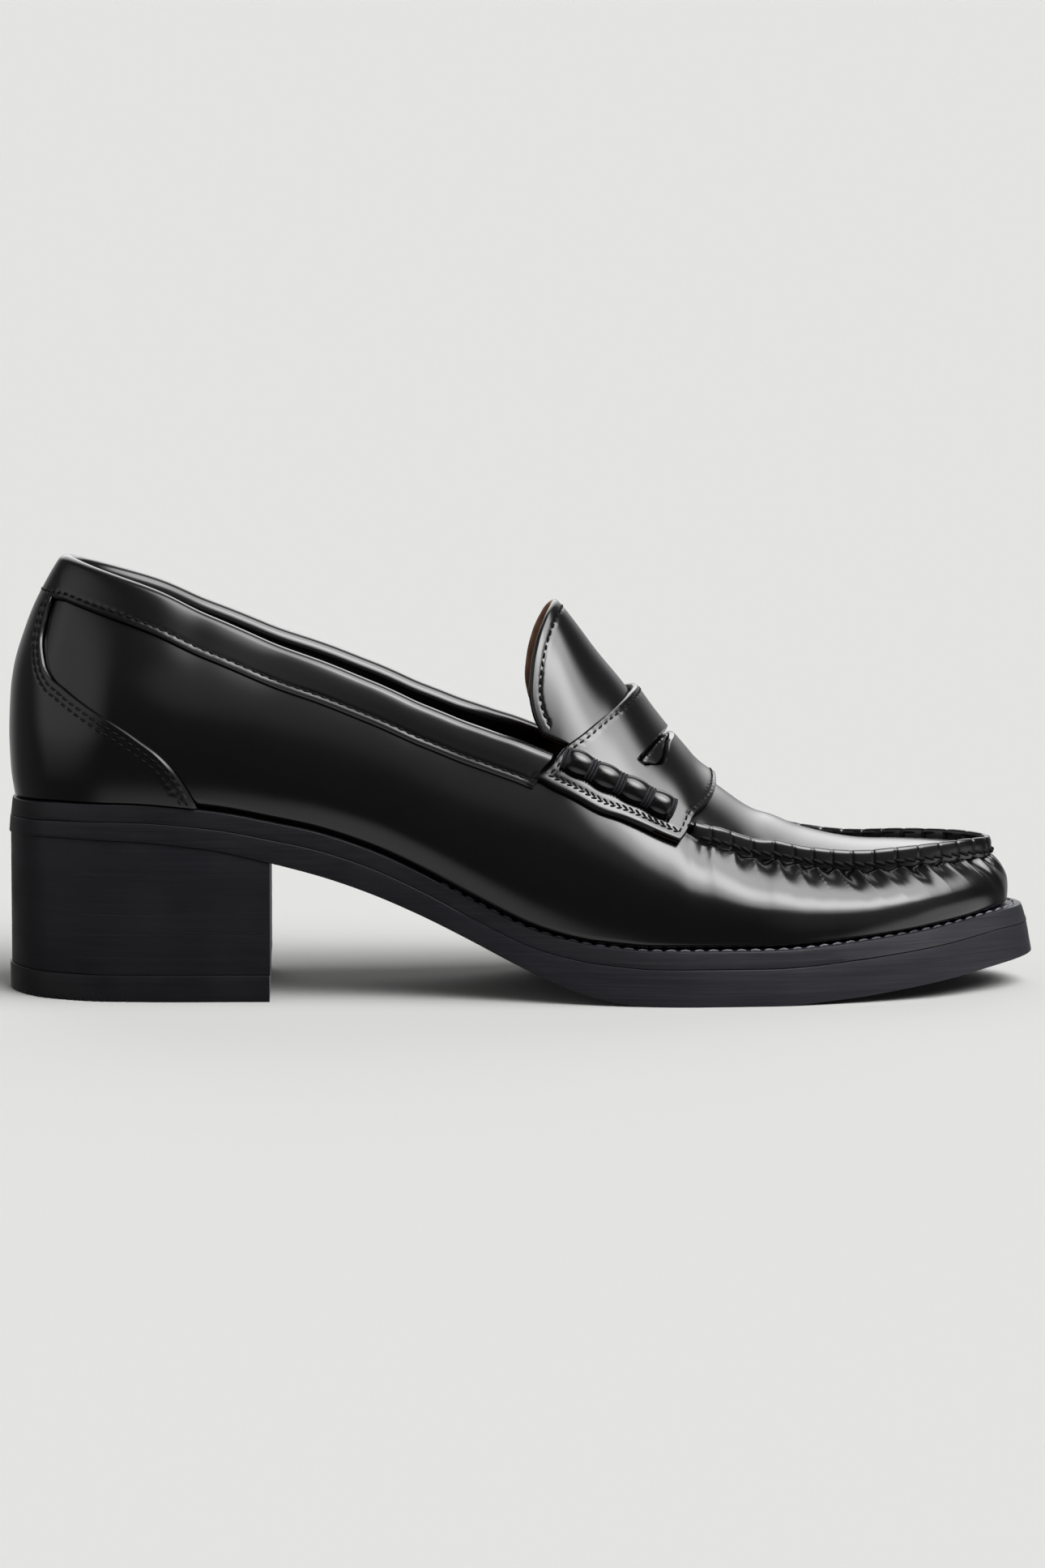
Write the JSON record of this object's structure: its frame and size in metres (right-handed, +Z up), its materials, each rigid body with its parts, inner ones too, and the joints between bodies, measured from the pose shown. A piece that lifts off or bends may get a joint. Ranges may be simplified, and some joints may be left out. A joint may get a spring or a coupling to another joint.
{
  "type": "loafer pump",
  "caption": "Black polished slip-on loafer pump with a saddle strap, standing tongue, raised moccasin seam, stitched welt and straight block heel; right shoe.",
  "frame": {"origin": "centre of the bounding box in plan, on the floor plane that heel and forefoot rest on", "axes": "+X from heel to toe, +Y to the inner side of the foot, +Z up"},
  "size_m": [0.258, 0.0862, 0.108],
  "materials": {
    "upper_leather": "high gloss polish",
    "lining_leather": "matte",
    "welt_leather": "satin",
    "outsole_rubber": "satin",
    "heel_stack": "satin",
    "top_piece_rubber": "satin"
  },
  "bodies": {
    "root": {"upper": "upper_leather", "tongue": "upper_leather", "saddle_strap": "upper_leather", "beef_roll_outer": "upper_leather", "beef_roll_inner": "upper_leather", "heel_counter": "upper_leather", "collar_binding": "upper_leather", "insole": "lining_leather", "welt": "welt_leather", "outsole": "outsole_rubber", "heel_block": "heel_stack", "heel_top_piece": "top_piece_rubber"}
  },
  "joints": []
}
